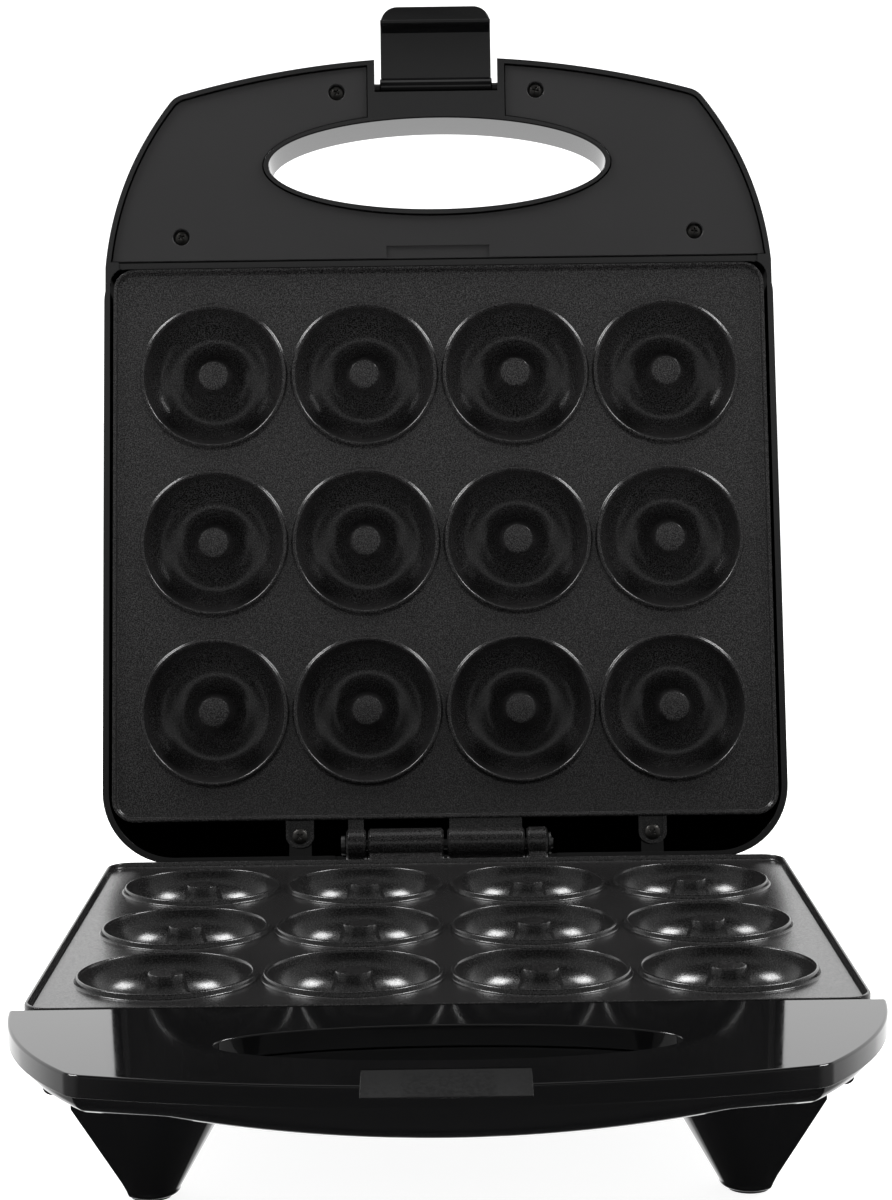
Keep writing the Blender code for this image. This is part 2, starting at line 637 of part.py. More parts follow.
def lid_shell(body):
    """The upper shell: a dome over the plate, and a handle with a hand hole and a notch for the latch."""
    levels = ((LID_FACE, 0.0, 0), (15.0, 0.4, 0), (19.0, 1.8, 0), (21.2, 4.4, 0), (LID_HANDLE_HEIGHT, 8.0, 0))
    shell = part("lid_shell", stepped_handle(0.0, -20.0, levels), "gloss_black", body)
    levels = ((LID_FACE, 0.0), (24.0, 0.6), (33.0, 2.2), (38.5, 5.5), (41.6, 10.5), (LID_HEIGHT, 17.0))
    weld(shell, "dome", stepped_box(LID_X, -106.0, LID_REAR, 16, LID_CORNER, levels, 8), body)

    levels = ((-3.0, WALL), (30.0, WALL + 1.2), (36.5, WALL + 5.0), (LID_HEIGHT - 2.4, WALL + 15.0))
    cut(shell, "dome_hollow", stepped_box(LID_X, -104.4, LID_REAR, 16, LID_CORNER, levels, 6), body)
    pocket = rounded_box(LID_X - WALL, -104.4 + WALL, -60, 6, 2)
    cut(shell, "plate_pocket", prism(pocket, -3.0, 12.0), body)
    levels = ((-3.0, 0.0, 0), (14.0, 0.0, 0), (19.8, 6.4, 0))
    grip_hollow = cutter("grip_hollow", stepped_handle(BAND, -102.2 - WALL, levels), body)
    boolean(grip_hollow, "DIFFERENCE", cutter("lid_oval_wall", prism(oval(BAND), -9, 50), body))
    bridge = block(-BRIDGE_X, BRIDGE_X, -190, OVAL_Y, -9, 50)
    boolean(grip_hollow, "DIFFERENCE", cutter("lid_bridge", bridge, body))
    boolean(shell, "DIFFERENCE", grip_hollow)

    posts = [rod(x, y, COVER_BACK + 0.3, 20.8, 3.6, 12) for x, y in both_sides(LID_SCREWS)]
    posts += [block(x - 4, x + 4, 102.4, LID_REAR - 1.4, 4.7, 24.0) for x in LUG_X]
    weld(shell, "lid_posts", merged(posts), body)
    holes = [rod(x, y, 1.0, 15.0, 1.8) for x, y in both_sides(LID_SCREWS)]
    holes += [rod(x, LUG_Y, 1.0, 17.0, 1.8) for x in LUG_X]
    holes += [rod(x, LAMP_Y, 34.0, 46.0, 4.3, 16) for x in LAMPS]
    cut(shell, "post_and_lens_holes", merged(holes), body)
    openings = [
        block(-117, 117, -104.9, -101.9, -5, 2.6),
        block(-NOTCH_X, NOTCH_X, -200, NOTCH_Y, -5, 40),
        block(-39.5, 39.5, 104, 120, -5, 12),
        prism(oval(), -5, 50),
    ]
    cut(shell, "ledge_notches_and_oval", merged(openings), body)
    cut(shell, "bridge_core", block(-31, 31, NOTCH_Y + BAND, OVAL_Y - OVAL_B - BAND, 3.0, 18.5), body)
    cut(shell, "latch_pin_hole", rod_x(-29, 29, LATCH_Y, LATCH_Z, PIN_R + 0.3), body)


def lid_handle_cover(body):
    """The satin panel let into the lid's handle, running round the hand hole from notch to notch."""
    outline = handle_area(BAND + GAP, COVER_REAR)
    cover = part("lid_handle_cover", prism(outline, COVER_FACE, COVER_BACK), "satin_black", body)
    cut(cover, "cover_hand_hole", prism(oval(BAND + GAP), -9, 20), body)
    bridge_x = BRIDGE_X + GAP
    removed = [
        block(-bridge_x, bridge_x, -190, OVAL_Y, -9, 20),
        block(-19, 18.8, -109.4, -104, 0, COVER_FACE + 0.5),
    ]
    removed += [rod(x, y, -2.0, 3.1, 3.05, 12) for x, y in both_sides(LID_SCREWS)]
    cut(cover, "cover_bridge_slot_and_recesses", merged(removed), body)
    holes = [rod(x, y, 2.0, 9.0, 1.9) for x, y in both_sides(LID_SCREWS)]
    cut(cover, "cover_screw_holes", merged(holes), body)


def lid_fittings(body):
    for i, (x, y) in enumerate(both_sides(LID_SCREWS)):
        screw(f"lid_handle_screw_{i + 1}", body, x, y, COVER_FACE + 0.3, 1, 10.5, head_r=2.7)
    for x, side in zip(LUG_X, ("left", "right")):
        screw(f"upper_plate_screw_{side}", body, x, LUG_Y, 0.7, 1, 13.0, head_r=2.7)
    for i, (x, y) in enumerate(boss_places()):
        screw(f"reflector_screw_{i + 1}", body, x, y, 18.9, -1, 10.5, head_r=2.9)
    for x, name, finish in zip(LAMPS, ("power", "ready"), ("red_lens", "green_lens")):
        lens = ((0, 43.9), (2.4, 43.6), (3.9, 42.8), (3.9, 38.0), (3.0, 38.0), (3.0, 42.0), (0, 42.3))
        part(name + "_lens", turned(lens, 16, (x, LAMP_Y, 0)), finish, body)
        lamp = ((0, 41.2), (1.4, 40.6), (1.9, 39.6), (1.9, 30.4), (0, 30.4))
        part(name + "_lamp", turned(lamp, 12, (x, LAMP_Y, 0)), "lamp_glass", body)
    part("lamp_board", block(-20, 20, LAMP_Y - 8, LAMP_Y + 8, 28.4, 30.0), "ceramic", body)
    part("latch_pin", rod_x(-28.5, 28.5, LATCH_Y, LATCH_Z, PIN_R), "steel", body)


def latch(body):
    """The swing latch: a barrel, a flat tongue with round corners, and a rib that hooks under the base."""
    half, tip = LATCH_WIDTH / 2, LATCH_Y - LATCH_LENGTH
    corner = arc((half - LATCH_TIP_R, tip + LATCH_TIP_R), LATCH_TIP_R, 0, -90, 5)
    tongue_low, tongue_high = LATCH_Z + 2.0, LATCH_Z + 4.0
    tongue = mirrored([(half, LATCH_Y)] + corner)
    swing = part("latch", prism(tongue, tongue_low, tongue_high), "gloss_black", body)
    rib_y = LATCH_Y - LATCH_RIB
    rib = block(0.1 - half, half - 0.1, rib_y - 1.7, rib_y, LATCH_Z - 3.4, tongue_low + 0.5)
    barrel = rod_x(-half - 0.2, half + 0.2, LATCH_Y, LATCH_Z, 4.1, 20)
    weld(swing, "latch_rib_and_barrel", merged([rib, barrel]), body)
    cut(swing, "latch_bore", rod_x(-30, 30, LATCH_Y, LATCH_Z, PIN_R + 0.3), body)


UPRIGHT_TO_Y = Matrix.Rotation(-math.pi / 2, 4, "X")

clear_scene()
PARTS = new_collection("donut_maker")
CUTTERS = new_collection("cutters")
CUTTERS.hide_render = True
lid_axis = axis_empty("lid_axis", HINGE_Y, HINGE_Z)
lid_axis.rotation_euler.x = -math.radians(OPEN_ANGLE)
latch_axis = axis_empty("latch_axis", LATCH_Y, LATCH_Z, lid_axis)

base_housing()
base_handle_cover()
cooking_plate("lower_plate", None, 1, LOWER_KNUCKLES, ())
heating_element("lower_heating_element", None, 1)
reflector("lower_reflector", None, 1)
thermostat("lower_thermostat", None, 1)
base_fittings()
wiring()
hinge()

lid_shell(lid_axis)
lid_handle_cover(lid_axis)
cooking_plate("upper_plate", lid_axis, -1, UPPER_KNUCKLES, LUG_X)
heating_element("upper_heating_element", lid_axis, -1)
reflector("upper_reflector", lid_axis, -1)
thermostat("upper_thermostat", lid_axis, -1)
lid_fittings(lid_axis)
latch(latch_axis)
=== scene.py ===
"""Looks of the donut maker: smooth casings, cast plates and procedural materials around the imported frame.

Shapes are drawn in millimetres with the lid closed, x across, y from the handle to the hinge and z up from
the seam where the halves meet. base_place() and lid_place() move them into the frame.
"""

import json
import math
import random

import bmesh
import bpy
from mathutils import Matrix, Vector


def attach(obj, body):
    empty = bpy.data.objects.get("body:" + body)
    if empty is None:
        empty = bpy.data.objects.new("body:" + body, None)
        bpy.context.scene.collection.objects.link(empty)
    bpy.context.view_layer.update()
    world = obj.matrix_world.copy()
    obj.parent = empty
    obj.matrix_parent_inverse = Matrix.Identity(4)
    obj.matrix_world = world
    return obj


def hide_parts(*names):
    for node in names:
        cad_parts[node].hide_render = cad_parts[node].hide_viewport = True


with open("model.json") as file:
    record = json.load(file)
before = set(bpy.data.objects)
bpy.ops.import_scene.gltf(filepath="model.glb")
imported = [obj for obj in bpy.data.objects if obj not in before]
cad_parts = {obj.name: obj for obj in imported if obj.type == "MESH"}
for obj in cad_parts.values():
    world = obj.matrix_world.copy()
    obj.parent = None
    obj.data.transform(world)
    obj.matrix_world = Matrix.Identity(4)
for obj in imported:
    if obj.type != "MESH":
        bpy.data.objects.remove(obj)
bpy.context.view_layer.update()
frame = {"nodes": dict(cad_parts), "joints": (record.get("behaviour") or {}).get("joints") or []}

MM = 0.001
JOINTS = {joint["name"]: joint for joint in frame["joints"]}
OPEN_ANGLE = math.radians(JOINTS["lid_hinge"]["range_deg"][1])
HINGE = (109.5, 3.0)  # y and z of the hinge pin
LATCH = (-173.6, 16.0)  # y and z of the latch pin, lid closed
WALL = 2.2
EDGE = 0.35  # rounding of the mouldings' rims
MERGE = 0.0005

# Cooking plates
PITCH_X, PITCH_Y, COLUMNS, ROWS = 55.0, 61.4, 4, 3
PLATE_X, PLATE_FRONT, PLATE_REAR, PLATE_CORNER = 119.0, -101.5, 100.5, 8.0
RIM_TOP, WEB_TOP, WEB_UNDER = -0.2, -2.0, -4.2
WELL_R, CHANNEL_R, POST_R, WELL_DEPTH, WELL_UNDER = 25.1, 15.3, 5.5, 11.6, -13.8
LUGS, LUG_Y = (-52.0, 73.8), 106.2
PLATE_SCREWS = ((107.0, 45.5), (107.0, -45.5))
LOWER_KNUCKLES = ((-27.7, -0.8), (28.7, 36.2))
UPPER_KNUCKLES = ((-35.5, -28.4), (0.5, 28.0))
BARREL_R, PIN_R, PIN_PLAY = 6.0, 2.0, 0.3

# Handles
SIDE_ARC = ((122.0, -102.5), (114.5, -135.6), (96.7, -166.8))
HANDLE_FRONT = -180.8
VERTEX_R = 9.0
OVAL_Y, OVAL_A, OVAL_B, OVAL_EDGE = -140.3, 62.0, 17.3, 0.45
NOTCH_X, NOTCH_Y = 22.7, -167.6
LID_SCREWS = ((36.8, -168.0), (94.2, -113.7))
BASE_SCREWS = ((36.8, -162.8, -15.2), (97.0, -127.0, -12.4))  # x, y and the height of the head
BAND, BRIDGE_X = 1.9, 25.3

# Lid and base
LID_X, LID_FRONT, LID_REAR, LID_HEIGHT, LID_FACE = 122.4, -106.0, 115.5, 43.0, 0.5
LID_CORNER, LID_FRONT_CORNER, GRIP_TOP, HOLLOW_FRONT = 26.0, 16.0, 22.0, -104.4
LENS_X, LENS_Y, LENS_HOLE_R = 11.0, -76.0, 4.3
BASE_FACE, SKIRT_FOOT, BASE_COVER_REAR = -0.5, -6.5, -102.2
TUB_X, TUB_FRONT, TUB_REAR, TUB_TOP, TUB_FOOT, TUB_DRAFT = 118.5, -101.9, 105.3, -4.6, -27.0, 4.4
BELLY_INSET, BELLY_TOP, BELLY_FOOT = 5.5, -6.9, -17.8
BELLY_RISE, BELLY_FLAT_X, BELLY_STRETCH = 3.4 / 60**2, 70.0, 1.03
GLAND_X, GLAND_Z, GLAND_HOLE_R, GLAND_PAD_R = 70.0, -14.6, 7.2, 9.7
VENT_WIDTH, VENT_LENGTH, VENT_PITCH = 3.0, 32.0, 12
STOP_X = 92.0
SCREW_HOLE_R = 1.9
LEG_X, LEG_YS = 84.7, (-93.0, 80.0)
LEGS = [(x, y) for x in (-LEG_X, LEG_X) for y in LEG_YS]
LEG_FOOT, LEG_FOOT_R, LEG_SLOPE, LEG_WALL = -56.0, 7.4, 0.572, 2.6
FIN_X, FIN_FOOT, FIN_SHOULDER, FIN_TOP = 89.2, -51.6, -24.0, -13.0
FIN_SPREAD, FIN_REAR = 0.72, 98.0  # outward share of the leg's radius, and the fin's rear limit


# Places


def shift(x, y, z):
    return Matrix.Translation(Vector((x, y, z)) * MM)


def base_place():
    hinge = Vector(JOINTS["lid_hinge"]["pos_m"])
    return Matrix.Translation(hinge) @ shift(0, -HINGE[0], -HINGE[1])


def lid_place():
    hinge = Vector(JOINTS["lid_hinge"]["pos_m"])
    return Matrix.Translation(hinge) @ Matrix.Rotation(-OPEN_ANGLE, 4, "X") @ shift(0, -HINGE[0], -HINGE[1])


PLACES = {"base": base_place(), "lid": lid_place(), "latch": lid_place()}


# Outlines, as (x, y) points of the right half from the rear to the middle of the front, then mirrored


def mirrored(half):
    return half + [(-x, y) for x, y in reversed(half) if abs(x) > 1e-6]


def arc(centre, radius, start, end, steps):
    angles = [start + (end - start) * i / steps for i in range(steps + 1)]
    return [(centre[0] + radius * math.cos(a), centre[1] + radius * math.sin(a)) for a in angles]


def quarter(centre, radius, start_degrees, end_degrees, steps):
    return arc(centre, radius, math.radians(start_degrees), math.radians(end_degrees), steps)


def rounded_box(half_width, front, rear, front_r, rear_r, steps=12):
    rear_arc = quarter((half_width - rear_r, rear - rear_r), rear_r, 90, 0, steps)
    front_arc = quarter((half_width - front_r, front + front_r), front_r, 0, -90, steps)
    return mirrored(rear_arc + front_arc)


def inner_box(half_width, front, rear, front_r, rear_r, d, steps=12):
    least = 0.6
    return rounded_box(
        half_width - d, front + d, rear - d, max(front_r - d, least), max(rear_r - d, least), steps
    )


def circle_through(a, b, c):
    a, b, c = Vector(a), Vector(b), Vector(c)
    ab, ac = b - a, c - a
    offset = Vector((
        ab.length_squared * ac.y - ac.length_squared * ab.y,
        ac.length_squared * ab.x - ab.length_squared * ac.x,
    ))
    centre = a + offset / (2 * ab.cross(ac))
    return centre, (a - centre).length


def circles_meet(centre_a, radius_a, centre_b, radius_b):
    """The meeting point of two circles with the greater x."""
    between = centre_b - centre_a
    span = between.length
    along = (radius_a**2 - radius_b**2 + span**2) / (2 * span)
    across = math.sqrt(radius_a**2 - along**2)
    foot = centre_a + between * along / span
    step = between.orthogonal().normalized() * across
    return max(foot + step, foot - step, key=lambda point: point.x)


SIDE_CENTRE, SIDE_RADIUS = circle_through(*SIDE_ARC)
SAG = SIDE_ARC[2][1] - HANDLE_FRONT
FRONT_RADIUS = (SIDE_ARC[2][0] ** 2 + SAG**2) / (2 * SAG)
FRONT_CENTRE = Vector((0, HANDLE_FRONT + FRONT_RADIUS))


def handle_area(d, rear):
    """The handle's outline moved in by d: side arcs, rounded vertices, a front arc and a straight rear."""
    fillet = max(VERTEX_R - d, 1.5)
    side, front = SIDE_RADIUS - d, FRONT_RADIUS - d
    centre = circles_meet(SIDE_CENTRE, side - fillet, FRONT_CENTRE, front - fillet)
    to_side = (centre - SIDE_CENTRE).normalized()
    to_front = (centre - FRONT_CENTRE).normalized()
    side_end = math.atan2(to_side.y, to_side.x)
    front_start = math.atan2(to_front.y, to_front.x)
    side_start = math.asin((SIDE_ARC[0][1] - SIDE_CENTRE.y) / side)
    points = arc(SIDE_CENTRE, side, side_start, side_end, 20)
    points += arc(centre, fillet, side_end, front_start, 8)[1:]
    points += arc(FRONT_CENTRE, front, front_start, -math.pi / 2, 24)[1:]
    points[-1] = (0.0, points[-1][1])
    return mirrored([(points[0][0], rear)] + [point for point in points if point[1] < rear - 0.05])


def oval(grow=0.0, sides=96):
    angles = [2 * math.pi * i / sides for i in range(sides)]
    return [((OVAL_A + grow) * math.cos(a), OVAL_Y + (OVAL_B + grow) * math.sin(a)) for a in angles]


# Shapes


def loft(rings):
    """A skin through rings of equal length, closed at both ends."""
    bm = bmesh.new()
    loops = [[bm.verts.new(point) for point in ring] for ring in rings]
    for low, high in zip(loops, loops[1:]):
        for i in range(len(low)):
            bm.faces.new((low[i - 1], low[i], high[i], high[i - 1]))
    bm.faces.new(loops[0])
    bm.faces.new(loops[-1])
    bmesh.ops.recalc_face_normals(bm, faces=bm.faces)
    return bm


def level(outline, z, rise=0.0):
    return [(x, y, z + rise * min(abs(x), BELLY_FLAT_X) ** 2) for x, y in outline]


def prism(outline, z0, z1):
    return loft([level(outline, z0), level(outline, z1)])


def boxes(half_width, front, rear, front_r, rear_r, levels, steps=12):
    return loft([level(inner_box(half_width, front, rear, front_r, rear_r, d, steps), z) for z, d in levels])


def handles(d0, rear, levels):
    """The handle's shape through (height, distance, rise) levels."""
    return loft([level(handle_area(d0 + d, rear), z, BELLY_RISE * rise) for z, d, rise in levels])


def extruded_x(profile, x0, x1):
    return loft([[(x, y, z) for y, z in profile] for x in (x0, x1)])


def block(x0, x1, y0, y1, z0, z1):
    return extruded_x([(y0, z0), (y1, z0), (y1, z1), (y0, z1)], x0, x1)


def turned(profile, sides, place=Matrix.Identity(4)):
    """A solid of revolution about Z from (radius, height) points, moved by place."""
    bm = bmesh.new()
    points = [bm.verts.new((radius, 0, z)) for radius, z in profile]
    edges = [bm.edges.new(pair) for pair in zip(points, points[1:])]
    if profile[0][0] > 0 and profile[-1][0] > 0:
        edges.append(bm.edges.new((points[-1], points[0])))
    bmesh.ops.spin(bm, geom=points + edges, axis=(0, 0, 1), angle=2 * math.pi, steps=sides, use_merge=True)
    bmesh.ops.remove_doubles(bm, verts=bm.verts, dist=MERGE)
    bmesh.ops.recalc_face_normals(bm, faces=bm.faces)
    bmesh.ops.transform(bm, matrix=place, verts=bm.verts)
    return bm


def at(x, y, z):
    return Matrix.Translation((x, y, z))


def rod(x, y, z0, z1, radius, sides=32):
    return turned([(0, z0), (radius, z0), (radius, z1), (0, z1)], sides, at(x, y, 0))


def along_x(x0, x1, y, z, radius, sides=40, edge=0.0):
    """A rod across the object, with bevelled ends if edge is set."""
    inner = radius - edge
    profile = [(0, x0), (inner, x0), (radius, x0 + edge), (radius, x1 - edge), (inner, x1), (0, x1)]
    return turned(profile, sides, at(0, y, z) @ Matrix.Rotation(math.pi / 2, 4, "Y"))


def flared(outline_at, z0, z1, edge):
    """A cutter whose hole has rounded edges at both faces. outline_at(d) is the outline grown by d."""
    beyond = 3
    rings = [(z0 - beyond, edge)] + rounded_levels(z0, z1, edge, edge) + [(z1 + beyond, edge)]
    return loft([level(outline_at(grow), z) for z, grow in rings])


def quarter_turns(steps):
    return [math.pi / 2 * i / steps for i in range(steps + 1)]


def rounded_levels(z0, z1, low_r, high_r, steps=4):
    """(height, distance) levels of a slab whose lower and upper edges are rounded."""
    low = [(z0 + low_r * (1 - math.cos(t)), low_r * (1 - math.sin(t))) for t in quarter_turns(steps)]
    high = [(z1 - high_r * (1 - math.cos(t)), high_r * (1 - math.sin(t))) for t in quarter_turns(steps)]
    return low + list(reversed(high))


def gathered(shapes):
    """One bmesh holding several shapes."""
    bm = bmesh.new()
    for shape in shapes:
        mesh = bpy.data.meshes.new("shape")
        shape.to_mesh(mesh)
        shape.free()
        bm.from_mesh(mesh)
        bpy.data.meshes.remove(mesh)
    return bm


def flipped(bm, up):
    """The bmesh as drawn when up is 1, or mirrored in the seam when it is -1."""
    if up < 0:
        bmesh.ops.scale(bm, vec=(1, 1, -1), verts=bm.verts)
        bmesh.ops.reverse_faces(bm, faces=bm.faces)
    return bm


def temporary(bm):
    mesh = bpy.data.meshes.new("temporary")
    bmesh.ops.triangulate(bm, faces=bm.faces)
    bm.to_mesh(mesh)
    bm.free()
    obj = bpy.data.objects.new("temporary", mesh)
    bpy.context.scene.collection.objects.link(obj)
    return obj


def carved(shape, *steps):
    """The shape after Boolean steps, each (operation, bmesh)."""
    obj = temporary(shape)
    tools = []
    for operation, other in steps:
        tools.append(temporary(other))
        modifier = obj.modifiers.new("step", "BOOLEAN")
        modifier.solver = "MANIFOLD"
        modifier.operation = operation
        modifier.object = tools[-1]
    bpy.context.view_layer.update()
    evaluated = obj.evaluated_get(bpy.context.evaluated_depsgraph_get())
    bm = bmesh.new()
    bm.from_mesh(evaluated.to_mesh())
    evaluated.to_mesh_clear()
    for used in [obj, *tools]:
        bpy.data.objects.remove(used)
    bmesh.ops.remove_doubles(bm, verts=bm.verts, dist=MERGE)
    bmesh.ops.dissolve_limit(bm, angle_limit=math.radians(0.2), verts=bm.verts, edges=bm.edges)
    return bm


def piece(name, bm, material, body, nodes=(), sharp=32):
    """A finished piece: it rides on its body and stands for the CAD nodes named."""
    bmesh.ops.scale(bm, vec=(MM, MM, MM), verts=bm.verts)
    bmesh.ops.transform(bm, matrix=PLACES[body], verts=bm.verts)
    mesh = bpy.data.meshes.new(name)
    bm.to_mesh(mesh)
    bm.free()
    mesh.shade_smooth()
    mesh.set_sharp_from_angle(angle=math.radians(sharp))
    mesh.materials.append(material)
    obj = bpy.data.objects.new(name, mesh)
    bpy.context.scene.collection.objects.link(obj)
    normals = obj.modifiers.new("flat faces stay flat", "WEIGHTED_NORMAL")
    normals.keep_sharp = True
    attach(obj, body)
    if nodes:
        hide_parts(*nodes)
    return obj


# Materials


def new_material(name, colour, roughness, metallic=0.0):
    material = bpy.data.materials.new(name)
    material.use_nodes = True
    tree = material.node_tree
    shader = tree.nodes["Principled BSDF"]
    shader.inputs["Base Color"].default_value = (*colour, 1)
    shader.inputs["Roughness"].default_value = roughness
    shader.inputs["Metallic"].default_value = metallic
    return material, tree, shader


def node(tree, kind, **inputs):
    made = tree.nodes.new(kind)
    for name, value in inputs.items():
        made.inputs[name.replace("_", " ")].default_value = value
    return made


def noise(tree, scale, detail=2.0):
    """Solid noise in object space, with scale in cells per metre."""
    place = tree.nodes.new("ShaderNodeTexCoord")
    made = node(tree, "ShaderNodeTexNoise", Scale=scale, Detail=detail)
    tree.links.new(place.outputs["Object"], made.inputs["Vector"])
    return made


def ranged(tree, socket, low, high, to_low, to_high):
    made = tree.nodes.new("ShaderNodeMapRange")
    for i, value in enumerate((low, high, to_low, to_high), 1):
        made.inputs[i].default_value = value
    tree.links.new(socket, made.inputs[0])
    return made.outputs[0]


def bumped(tree, shader, socket, distance):
    """Bump under a rounding of sharp edges, as moulded and cast edges have."""
    edge = node(tree, "ShaderNodeBevel", Radius=0.12 * MM)
    edge.samples = 4
    bump = node(tree, "ShaderNodeBump", Strength=1.0, Distance=distance)
    tree.links.new(socket, bump.inputs["Height"])
    tree.links.new(edge.outputs["Normal"], bump.inputs["Normal"])
    tree.links.new(bump.outputs["Normal"], shader.inputs["Normal"])


def mixed_colour(tree, shader, factor, dark, light):
    mix = tree.nodes.new("ShaderNodeMix")
    mix.data_type = "RGBA"
    mix.inputs["A"].default_value = (*dark, 1)
    mix.inputs["B"].default_value = (*light, 1)
    tree.links.new(factor, mix.inputs["Factor"])
    tree.links.new(mix.outputs["Result"], shader.inputs["Base Color"])


def gloss_black():
    """Polished black plastic with the faint unevenness of a moulding."""
    material, tree, shader = new_material("gloss_black_plastic", (0.004, 0.004, 0.0042), 0.12)
    waves = noise(tree, 60)
    grain = noise(tree, 900)
    tree.links.new(ranged(tree, grain.outputs[0], 0.35, 0.65, 0.035, 0.07), shader.inputs["Roughness"])
    bumped(tree, shader, waves.outputs[0], 0.000006)
    return material


def satin_black():
    """Textured black plastic of the lid's handle panel."""
    material, tree, shader = new_material("satin_black_plastic", (0.03, 0.029, 0.029), 0.5)
    grain = noise(tree, 2600, 3)
    cloud = noise(tree, 30)
    mixed_colour(tree, shader, cloud.outputs[0], (0.017, 0.0165, 0.017), (0.022, 0.0215, 0.022))
    tree.links.new(ranged(tree, grain.outputs[0], 0.3, 0.7, 0.42, 0.56), shader.inputs["Roughness"])
    bumped(tree, shader, grain.outputs[0], 0.00003)
    return material


def nonstick():
    """Sprayed non-stick coating: near black, with a fine speckle and orange peel."""
    material, tree, shader = new_material("nonstick_coating", (0.012, 0.0118, 0.012), 0.28)
    speckle = noise(tree, 2600, 2)
    spots = ranged(tree, speckle.outputs[0], 0.42, 0.72, 0.0, 1.0)
    mixed_colour(tree, shader, spots, (0.003, 0.003, 0.003), (0.045, 0.0435, 0.044))
    grain = noise(tree, 1700, 2)
    tree.links.new(ranged(tree, grain.outputs[0], 0.3, 0.7, 0.18, 0.27), shader.inputs["Roughness"])
    bumped(tree, shader, speckle.outputs[0], 0.00001)
    return material


def metal(name, colour, roughness, scale=700):
    material, tree, shader = new_material(name, colour, roughness, 1.0)
    grain = noise(tree, scale, 4)
    low, high = roughness * 0.8, min(1.0, roughness * 1.25)
    tree.links.new(ranged(tree, grain.outputs[0], 0.3, 0.7, low, high), shader.inputs["Roughness"])
    bumped(tree, shader, grain.outputs[0], 0.00002)
    return material


def plain(name, colour, roughness, scale=900, distance=0.00004):
    """A moulded or pressed material with a fine grain and a slight change of tone."""
    material, tree, shader = new_material(name, colour, roughness)
    grain = noise(tree, scale, 3)
    darker = tuple(value * 0.85 for value in colour)
    mixed_colour(tree, shader, grain.outputs[0], darker, colour)
    bumped(tree, shader, grain.outputs[0], distance)
    return material


def lens(name, colour):
    material, tree, shader = new_material(name, colour, 0.08)
    shader.inputs["Transmission Weight"].default_value = 0.6
    ripple = noise(tree, 400)
    bumped(tree, shader, ripple.outputs[0], 0.00003)
    return material


GLOSS = gloss_black()
SATIN = satin_black()
NONSTICK = nonstick()
# Painted shade: the pins' steel gets a dark tone so the hinge pin's head reads as the shade of the recess it
# sits in.
PIN_STEEL_PAINTED_SHADE = metal("pin_steel_painted_shade", (0.1, 0.1, 0.1), 0.42)
BLACK_STEEL = metal("black_screw_steel", (0.06, 0.058, 0.055), 0.38)
SHEET = metal("reflector_sheet", (0.7, 0.7, 0.71), 0.3)
ELEMENT = metal("element_sheath", (0.2, 0.18, 0.17), 0.5)
RUBBER = plain("foot_rubber", (0.018, 0.018, 0.018), 0.8)
CERAMIC = plain("ceramic", (0.75, 0.73, 0.68), 0.5)
SLEEVE = plain("glass_fibre_sleeve", (0.6, 0.55, 0.5), 0.8, 2500, 0.0002)
RED = lens("red_lens", (0.5, 0.02, 0.01))
GREEN = lens("green_lens", (0.02, 0.35, 0.06))
LAMP = lens("lamp_glass", (0.8, 0.78, 0.75))


def paint_frame():
    """Materials of the CAD nodes that stay as they are."""
    finishes = (
        (("hinge_pin", "hinge_pin_clip", "latch_pin"), PIN_STEEL_PAINTED_SHADE),
        (("lower_heating_element", "upper_heating_element"), ELEMENT),
        (("lower_reflector", "upper_reflector", "thermal_fuse"), SHEET),
        (("lower_thermostat", "upper_thermostat", "terminal_block", "lamp_board"), CERAMIC),
        (("heater_lead",), SLEEVE),
        (("cord_gland",), RUBBER),
        (("power_lens",), RED),
        (("ready_lens",), GREEN),
        (("power_lamp", "ready_lamp"), LAMP),
    )
    chosen = {name: material for names, material in finishes for name in names}
    for name, obj in frame["nodes"].items():
        material = chosen.get(name, BLACK_STEEL if "screw" in name else GLOSS)
        obj.data.materials.clear()
        obj.data.materials.append(material)


# Cooking plates


def well_centres():
    return [
        ((i - (COLUMNS - 1) / 2) * PITCH_X, (j - (ROWS - 1) / 2) * PITCH_Y)
        for i in range(COLUMNS)
        for j in range(ROWS)
    ]


def well_profile():
    """From the post's middle over the ring channel and the collar to the web."""
    top = RIM_TOP
    post = [(0, top), (POST_R - 0.9, top), (POST_R - 0.35, top - 0.1), (POST_R - 0.05, top - 0.5)]
    half = WELL_R - CHANNEL_R
    channel = [
        (CHANNEL_R + half * math.cos(math.radians(a)), WELL_DEPTH * math.sin(math.radians(a)))
        for a in range(-166, -5, 8)
    ]
    collar = [(25.15, -0.8), (25.3, -0.38), (25.6, top), (26.0, top), (26.32, -0.38), (26.5, -0.8)]
    fillet = [(26.6, -1.3), (26.8, -1.75), (27.1, -1.95), (27.4, WEB_TOP)]
    return post + channel + collar + fillet


def skin(bm, profile, sides, centre):
    """Adds a turned skin to bm and returns its outermost ring of vertices."""
    x, y = centre
    rings = []
    for radius, z in profile:
        count = 1 if radius == 0 else sides
        angles = [2 * math.pi * i / sides for i in range(count)]
        rings.append([bm.verts.new((x + radius * math.cos(a), y + radius * math.sin(a), z)) for a in angles])
    for inner, outer in zip(rings, rings[1:]):
        for i in range(sides):
            corners = [inner[i % len(inner)], outer[i], outer[(i + 1) % sides], inner[(i + 1) % len(inner)]]
            bm.faces.new(list(dict.fromkeys(corners)))
    return rings[-1]


def holed_face(bm, outline, holes):
    """Fills the flat area between an outline and its holes."""
    loops = [outline, *holes]
    edges = []
    for loop in loops:
        for a, b in zip(loop, loop[1:] + loop[:1]):
            edges.append(bm.edges.get((a, b)) or bm.edges.new((a, b)))
    bmesh.ops.triangle_fill(bm, use_beauty=True, use_dissolve=False, edges=edges)


